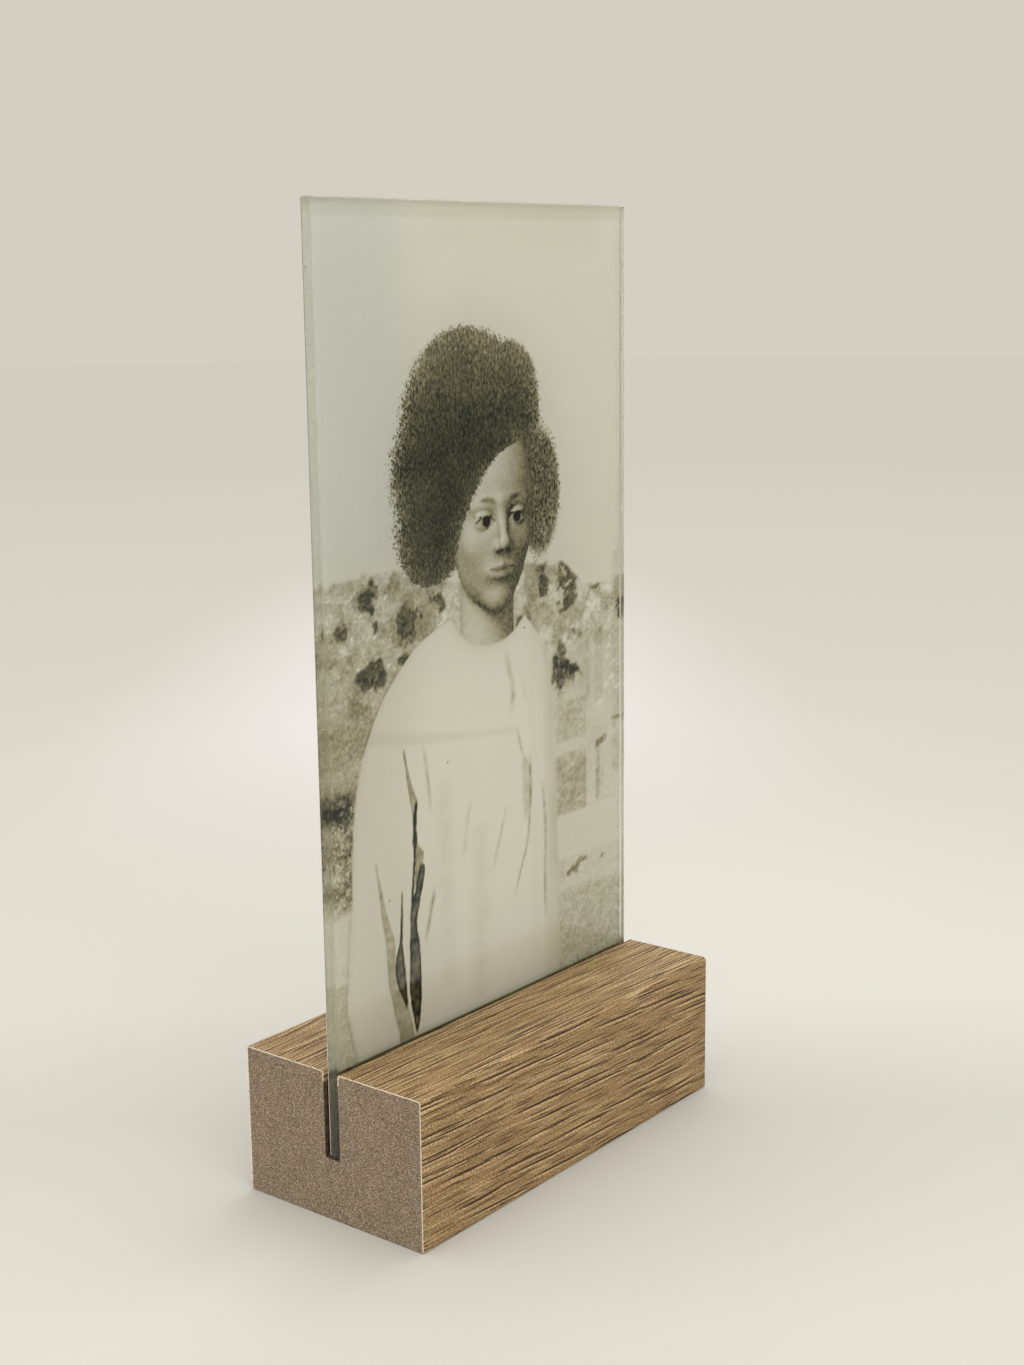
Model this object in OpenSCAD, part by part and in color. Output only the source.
// Glass photo display: a printed glass pane standing in the slot of a short
// block of foil-wrapped MDF moulding. X runs along the slot, Y from the front
// to the back, Z up from the table. The origin is under the block's middle.

/* [Block] */
// Length of the sawn block, along the slot
block_length = 100; // [60:1:250]
// Depth of the block, from its front foil to its back foil
block_depth = 47; // [30:0.5:80]
// Height of the block, from the table to its two top lands
block_height = 31.6; // [26:0.1:60]
// Radius of the long outer edges, on the outside of the foil
edge_radius = 0.8; // [0.5:0.1:3]

/* [Slot] */
// Depth of the slot below the top lands
slot_depth = 18.4; // [10:0.1:22]
// Radius where a top land rolls over into the slot, on the outside of the foil
mouth_radius = 0.8; // [0.5:0.1:1.4]

/* [Foil] */
// Thickness of the wood-decor foil
foil_thickness = 0.35; // [0.2:0.05:0.45]
// How far the foil runs down each wall of the slot
lip_depth = 2.4; // [1.5:0.1:6]
// Height at which the foil stops above the table
foil_hem = 0.3; // [0.1:0.05:2]

/* [Glass] */
// Height of the glass pane, from its foot to its top edge
glass_height = 186.4; // [90:0.1:300]
// Thickness of the glass pane
glass_thickness = 2.8; // [1.8:0.1:6]
// Width of the ground arris along every edge of the glass
glass_arris = 0.3; // [0.1:0.05:0.6]
// How far the glass stops short of the block's left end
left_inset = 0.4; // [0.1:0.1:5]
// How far the glass stops short of the block's right end
right_inset = 1.5; // [0.1:0.1:5]

/* [Picture] */
// Thickness of the printed picture film on the back of the glass
picture_thickness = 0.1; // [0.05:0.05:0.4]
// Thickness of the white film behind the picture
backing_thickness = 0.15; // [0.05:0.05:0.4]
// Strip left bare between the edge of the glass and the two films
film_margin = 0.3; // [0.1:0.1:3]

/* [Fit] */
// Gap between the glass and the front wall of the slot
front_gap = 0.05; // [0.02:0.01:0.5]
// Free room between the white film and the back wall of the slot
back_gap = 0.6; // [0.2:0.05:2]

/* [Hidden] */
$fn = 64;
// How far a cut runs past the solid that it cuts
overrun = 1;

// The slot takes the pane with both films and the two gaps
pane_thickness = glass_thickness + picture_thickness + backing_thickness;
slot_width = front_gap + pane_thickness + back_gap;
slot_half = slot_width / 2;
slot_floor = block_height - slot_depth;
half_depth = block_depth / 2;

// The foil's lips end on a ledge of the core, below the rolled mouth
ledge_height = block_height - lip_depth;
// Half width of the core's solid middle, which joins both of its sides
web_half = slot_half + foil_thickness + mouth_radius;

// The glass stands on the slot's floor, close to its front wall
glass_width = block_length - left_inset - right_inset;
glass_left = left_inset - block_length / 2;
glass_front = front_gap - slot_half;
glass_back = glass_front + glass_thickness;

// The two films cover the back of the glass up to their margin
film_width = glass_width - 2 * film_margin;
film_height = glass_height - 2 * film_margin;
film_left = glass_left + film_margin;
film_foot = slot_floor + film_margin;
picture_back = glass_back + picture_thickness;

// What is cut away to round a corner that lies at the origin, with the
// material to its left and below
module corner_cut(radius) {
    difference() {
        translate([-radius, -radius]) square(radius + overrun);
        translate([-radius, -radius]) circle(radius);
    }
}

// Section of the block's back half beside the slot, set in from the outside
// of the foil by inset. With no inset it's the outside of the foil, and set in
// by the foil's thickness it's the skin of the core, on the same centres.
module side_section(inset) {
    inner = slot_half + inset;
    outer = half_depth - inset;
    bottom = inset - foil_thickness;
    top = block_height - inset;
    difference() {
        translate([inner, bottom]) square([outer - inner, top - bottom]);
        translate([outer, top]) corner_cut(edge_radius - inset);
        translate([outer, bottom]) mirror([0, 1]) corner_cut(edge_radius - inset);
        translate([inner, top]) mirror([1, 0]) corner_cut(mouth_radius - inset);
    }
}

// Section of the core: both sides, the web between them and the sawn slot
module core_section() {
    difference() {
        union() {
            side_section(foil_thickness);
            mirror([1, 0]) side_section(foil_thickness);
            translate([-web_half, 0]) square([2 * web_half, ledge_height]);
        }
        translate([-slot_half, slot_floor]) square([slot_width, slot_depth + overrun]);
    }
}

// Section of one foil: up the side, over the land, rolled into the mouth and
// down the wall of the slot as far as the ledge
module foil_section() {
    difference() {
        side_section(0);
        side_section(foil_thickness);
        translate([0, -overrun]) square([slot_half + foil_thickness, ledge_height + overrun]);
        translate([0, -overrun]) square([half_depth + overrun, foil_hem + overrun]);
    }
}

// A section drawn in Y and Z, run along the whole length of the block
module along_block() {
    rotate([90, 0, 90]) linear_extrude(block_length, center = true) children();
}

// A rectangle about the origin with its four corners taken off
module arrissed_rectangle(width, height) {
    x = width / 2;
    y = height / 2;
    c = glass_arris;
    polygon([
        [c - x, -y], [x - c, -y], [x, c - y], [x, y - c],
        [x - c, y], [c - x, y], [-x, y - c], [-x, c - y]
    ]);
}

// MDF moulding, sawn to length, with the slot that holds the glass
module mdf_core() {
    color([0.53, 0.46, 0.39]) along_block() core_section();
}

// Wood-decor foil on the front face, the front land and the slot's front lip
module front_wrap() {
    color([0.66, 0.53, 0.37]) along_block() mirror([1, 0]) foil_section();
}

// Wood-decor foil on the back face, the back land and the slot's back lip
module back_wrap() {
    color([0.62, 0.50, 0.35]) along_block() foil_section();
}

// Float glass with every edge arrissed, standing on the slot's floor
module glass_pane() {
    middle = [
        glass_left + glass_width / 2,
        glass_front + glass_thickness / 2,
        slot_floor + glass_height / 2
    ];
    color([0.74, 0.82, 0.77, 0.6]) translate(middle) intersection() {
        linear_extrude(glass_height, center = true)
            arrissed_rectangle(glass_width, glass_thickness);
        rotate([90, 0, 0]) linear_extrude(glass_thickness, center = true)
            arrissed_rectangle(glass_width, glass_height);
        rotate([90, 0, 90]) linear_extrude(glass_width, center = true)
            arrissed_rectangle(glass_thickness, glass_height);
    }
}

// The picture, printed on a thin film that is bonded to the back of the glass
module photo_print() {
    color([0.62, 0.62, 0.53]) translate([film_left, glass_back, film_foot])
        cube([film_width, picture_thickness, film_height]);
}

// Opaque white film behind the picture, which gives it its light tones
module white_backing() {
    color([0.92, 0.92, 0.89]) translate([film_left, picture_back, film_foot])
        cube([film_width, backing_thickness, film_height]);
}

mdf_core();
front_wrap();
back_wrap();
glass_pane();
photo_print();
white_backing();
